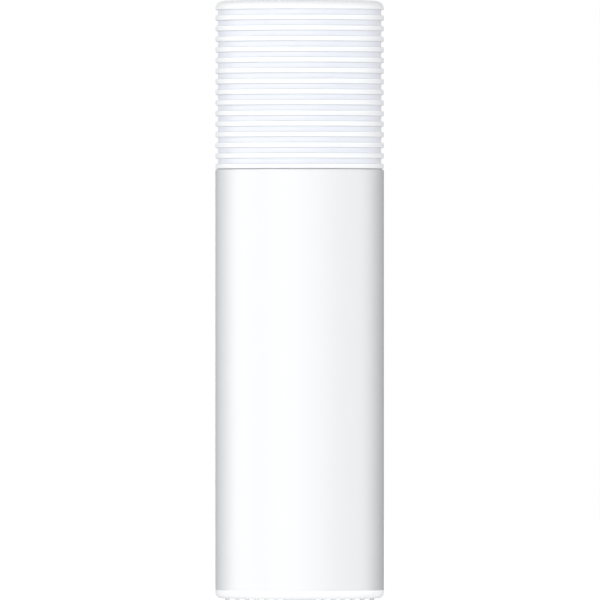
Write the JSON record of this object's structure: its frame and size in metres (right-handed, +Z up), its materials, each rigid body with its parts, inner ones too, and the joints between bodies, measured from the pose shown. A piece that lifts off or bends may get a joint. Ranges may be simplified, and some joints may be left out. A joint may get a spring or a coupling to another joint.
{
  "type": "mesh wifi node",
  "caption": "Slim round white tower with a ribbed translucent crown, vented foot, and a rear panel for power, Ethernet, pairing button and reset.",
  "frame": {"origin": "centre of the foot's underside, on the surface it stands on", "axes": "+Z up along the tower, -Y towards the front, +Y out of the port panel"},
  "size_m": [0.06, 0.06, 0.2137],
  "materials": {
    "sleeve_white": "fine satin",
    "ring_white": "glossy and slightly translucent",
    "crown_frost": "frosted and slightly translucent",
    "foot_grey": "soft matt elastomer",
    "label_silver": "satin printed film",
    "panel_white": "fine texture",
    "button_white": "semi-gloss",
    "chassis_grey": "matt moulded",
    "carrier_white": "matt moulded",
    "board_green": "solder mask",
    "screw_steel": "zinc plated",
    "can_steel": "tin plated",
    "socket_black": "moulded",
    "contact_gold": "gold plated",
    "pin_nickel": "nickel plated",
    "light_clear": "clear light pipe",
    "guide_frost": "frosted diffuser",
    "chip_black": "moulded epoxy",
    "coil_grey": "pressed ferrite",
    "can_aluminium": "drawn can",
    "sink_aluminium": "extruded, clear anodised",
    "pad_pink": "thermal pad",
    "led_white": "light package",
    "lead_grey": "coaxial jacket",
    "plug_gold": "gold plated"
  },
  "bodies": {
    "housing": {"body_sleeve": "sleeve_white", "crown_cover": "crown_frost", "base_ring": "ring_white", "base_screws": "screw_steel", "foot_grille": "foot_grey", "rating_label": "label_silver", "port_panel": "panel_white", "chassis": "chassis_grey", "main_board": "board_green", "board_screws": "screw_steel", "link_lights": "light_clear", "power_inlet": "socket_black", "power_pin": "pin_nickel", "pair_switch_body": "socket_black", "reset_switch_body": "socket_black", "processor": "chip_black", "memory_chip": "chip_black", "flash_chip": "chip_black", "ethernet_switch_chip": "chip_black", "power_coil": "coil_grey", "smoothing_capacitor_1": "can_aluminium", "smoothing_capacitor_2": "can_aluminium", "processor_pad": "pad_pink", "heat_sink": "sink_aluminium", "heat_sink_screws": "screw_steel", "heat_sink_posts": "screw_steel", "light_board": "board_green", "status_lights": "led_white", "light_guide": "guide_frost", "antenna_carrier": "carrier_white", "carrier_screws": "screw_steel", "lead_plugs": "plug_gold", "ethernet_shell_1": "can_steel", "ethernet_insert_1": "socket_black", "ethernet_contacts_1": "contact_gold", "line_transformer_1": "chip_black", "shield_can_1": "can_steel", "radio_chip_1": "chip_black", "shield_pad_1": "pad_pink", "ethernet_shell_2": "can_steel", "ethernet_insert_2": "socket_black", "ethernet_contacts_2": "contact_gold", "line_transformer_2": "chip_black", "shield_can_2": "can_steel", "radio_chip_2": "chip_black", "shield_pad_2": "pad_pink", "antenna_1": "board_green", "antenna_lead_1": "lead_grey", "antenna_2": "board_green", "antenna_lead_2": "lead_grey", "antenna_3": "board_green", "antenna_lead_3": "lead_grey", "antenna_4": "board_green", "antenna_lead_4": "lead_grey"},
    "pair_button": {"pair_button": "button_white", "pair_switch_plunger": "chip_black"},
    "reset_plunger": {"reset_switch_plunger": "button_white"}
  },
  "joints": [
    {"name": "pair_button_press", "type": "slide", "parent": "housing", "child": "pair_button", "axis": [0, -1, 0], "range_m": [0, 0.0005], "stiffness_N_per_m": 1500, "springref_m": -0.0004},
    {"name": "reset_switch_press", "type": "slide", "parent": "housing", "child": "reset_plunger", "axis": [0, -1, 0], "range_m": [0, 0.0005], "stiffness_N_per_m": 1500, "springref_m": -0.0004}
  ]
}
